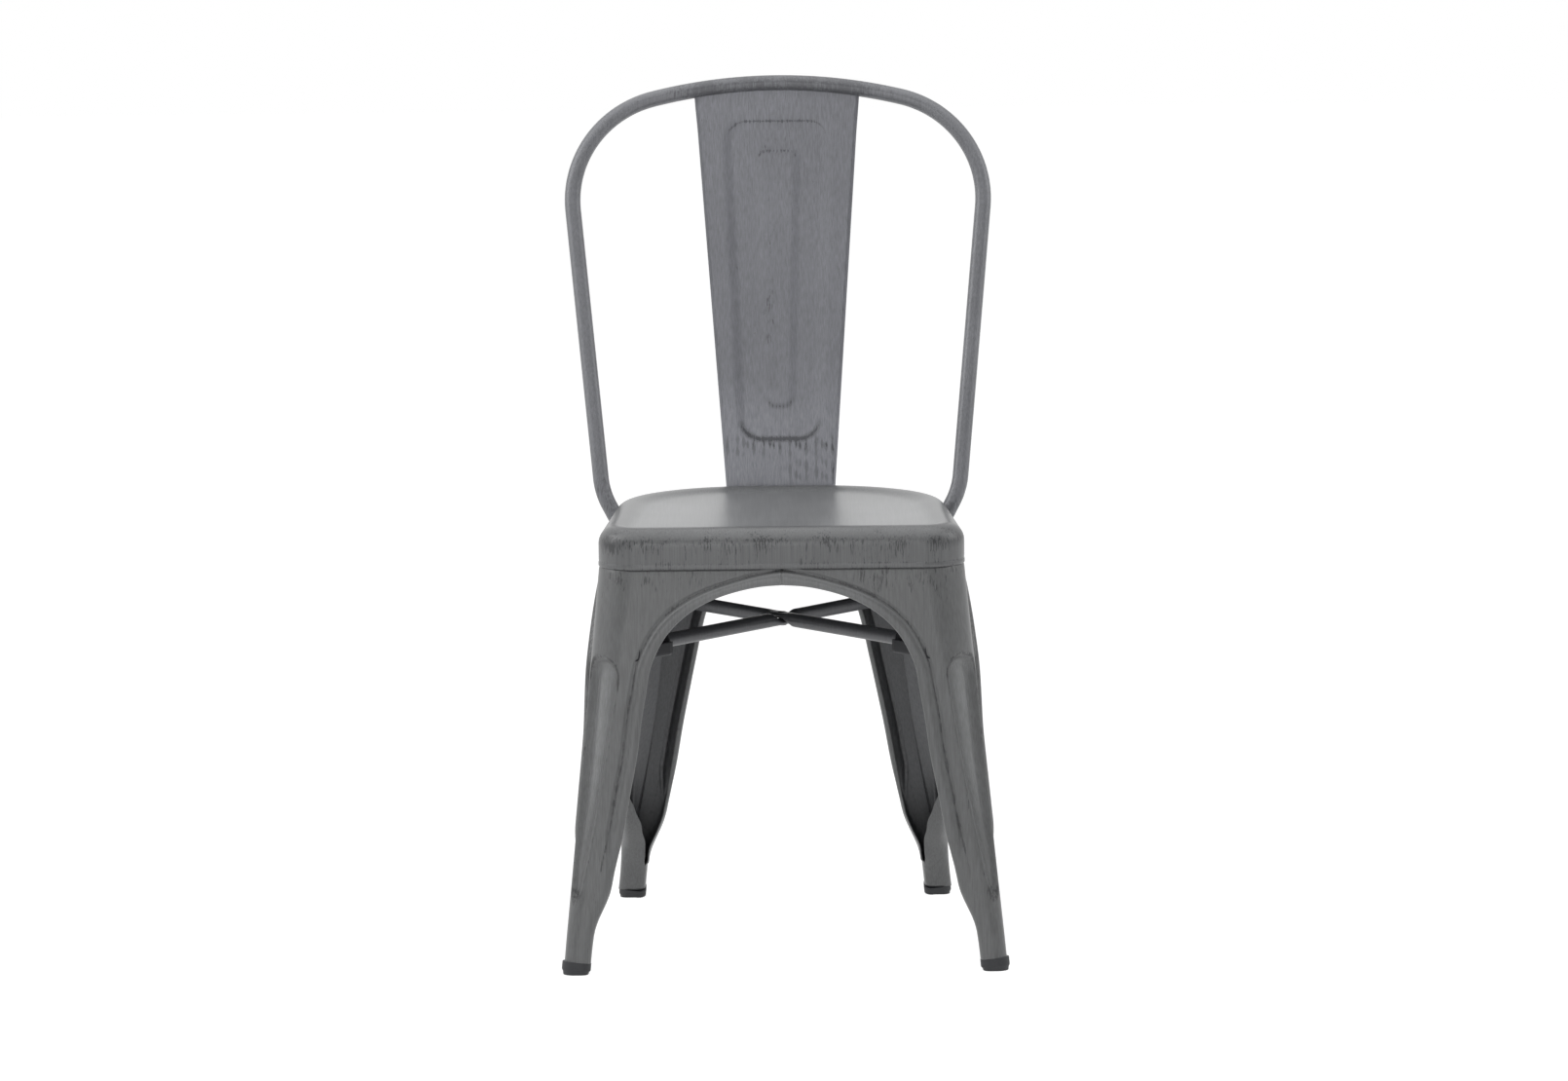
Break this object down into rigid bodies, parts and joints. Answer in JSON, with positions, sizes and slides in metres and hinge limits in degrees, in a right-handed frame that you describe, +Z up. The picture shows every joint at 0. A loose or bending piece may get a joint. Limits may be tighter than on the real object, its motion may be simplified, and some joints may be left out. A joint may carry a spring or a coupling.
{
  "type": "metal bistro chair",
  "caption": "Stacking metal bistro chair: dished seat pan, splayed pressed sheet legs with rolled arch edges, bent tube back hoop and tapered splat, crossed tube brace underneath.",
  "frame": {"origin": "on the floor under the middle of the chair's box", "axes": "+Z up, the front of the seat is towards -Y, +X is to the right seen from the front"},
  "size_m": [0.4444, 0.5014, 0.85],
  "materials": {
    "brushed_sheet": "satin gunmetal lacquer, hand brushed with dark streaks",
    "painted_tube": "satin gunmetal lacquer",
    "dark_fittings": "satin dark lacquer",
    "foot_rubber": "matt"
  },
  "bodies": {
    "root": {"seat_pan": "brushed_sheet", "front_right_leg": "brushed_sheet", "front_left_leg": "brushed_sheet", "rear_right_leg": "brushed_sheet", "rear_left_leg": "brushed_sheet", "back_splat": "brushed_sheet", "back_hoop": "painted_tube", "upper_brace_tube": "painted_tube", "lower_brace_tube": "painted_tube", "front_right_brace_bracket": "dark_fittings", "front_left_brace_bracket": "dark_fittings", "rear_right_brace_bracket": "dark_fittings", "rear_left_brace_bracket": "dark_fittings", "brace_rivet": "dark_fittings", "front_seam_strap": "dark_fittings", "rear_seam_strap": "dark_fittings", "right_seam_strap": "dark_fittings", "left_seam_strap": "dark_fittings", "front_right_foot_cap": "foot_rubber", "front_left_foot_cap": "foot_rubber", "rear_right_foot_cap": "foot_rubber", "rear_left_foot_cap": "foot_rubber"}
  },
  "joints": []
}
